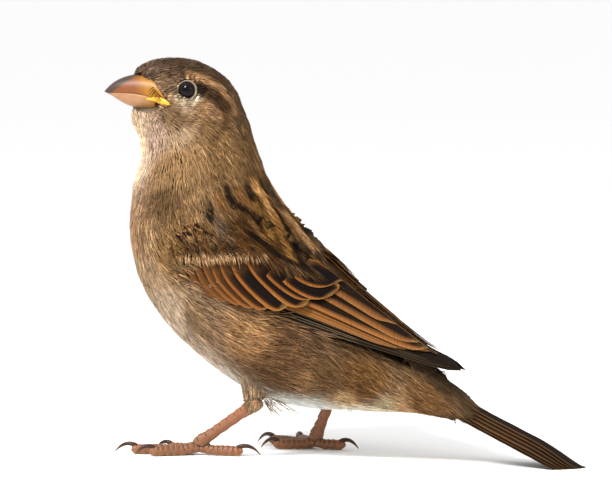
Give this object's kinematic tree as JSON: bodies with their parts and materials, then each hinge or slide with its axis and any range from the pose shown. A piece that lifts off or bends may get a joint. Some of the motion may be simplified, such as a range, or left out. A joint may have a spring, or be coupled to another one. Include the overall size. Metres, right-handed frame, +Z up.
{
  "type": "house sparrow",
  "caption": "Life-size still female house sparrow standing with folded wings, head turned to its left, tail tip on the ground.",
  "frame": {"origin": "middle of the bottom of the bird's box, on the ground under its belly", "axes": "+Z up, the bird looks along -X with its tail towards +X, its left side is towards -Y"},
  "size_m": [0.1208, 0.0478, 0.095],
  "materials": {
    "head_plumage": "soft short contour feathers, grey-brown, matt",
    "neck_plumage": "soft contour feathers, pale buff throat to brown nape, matt",
    "body_plumage": "soft contour feathers, buff-brown, matt",
    "rump_plumage": "soft contour feathers, brown, matt",
    "thigh_plumage": "short soft feathers, brown, matt",
    "bill_upper": "horn, pinkish brown, satin",
    "bill_lower": "horn, pale yellowish pink, satin",
    "eye": "wet, nearly black brown",
    "primaries": "stiff flight feathers, dark brown with pale edges",
    "secondaries": "stiff flight feathers, dark brown with rufous edges",
    "tertials": "stiff feathers, dark brown with wide buff edges",
    "greater_coverts": "feathers, dark centres and wide rufous edges",
    "shoulder_feathers": "feathers, brown with black streaks and a buff wing bar",
    "tail": "stiff feathers, dark brown with thin buff edges",
    "leg_scales": "horny scales, pinkish brown, satin",
    "claw": "horn, dark brown, smooth"
  },
  "bodies": {
    "root": {"head": "head_plumage", "neck": "neck_plumage", "trunk": "body_plumage", "rump": "rump_plumage", "bill_upper": "bill_upper", "bill_lower": "bill_lower", "eye_left": "eye", "eye_right": "eye", "wing_left_primaries": "primaries", "wing_left_secondaries": "secondaries", "wing_left_tertials": "tertials", "wing_left_greater_coverts": "greater_coverts", "wing_left_shoulder": "shoulder_feathers", "wing_right_primaries": "primaries", "wing_right_secondaries": "secondaries", "wing_right_tertials": "tertials", "wing_right_greater_coverts": "greater_coverts", "wing_right_shoulder": "shoulder_feathers", "tail_left": "tail", "tail_right": "tail", "thigh_left": "thigh_plumage", "tarsus_left": "leg_scales", "toe_left_1": "leg_scales", "toe_left_2": "leg_scales", "toe_left_3": "leg_scales", "toe_left_4": "leg_scales", "claw_left_1": "claw", "claw_left_2": "claw", "claw_left_3": "claw", "claw_left_4": "claw", "thigh_right": "thigh_plumage", "tarsus_right": "leg_scales", "toe_right_1": "leg_scales", "toe_right_2": "leg_scales", "toe_right_3": "leg_scales", "toe_right_4": "leg_scales", "claw_right_1": "claw", "claw_right_2": "claw", "claw_right_3": "claw", "claw_right_4": "claw"}
  },
  "joints": []
}
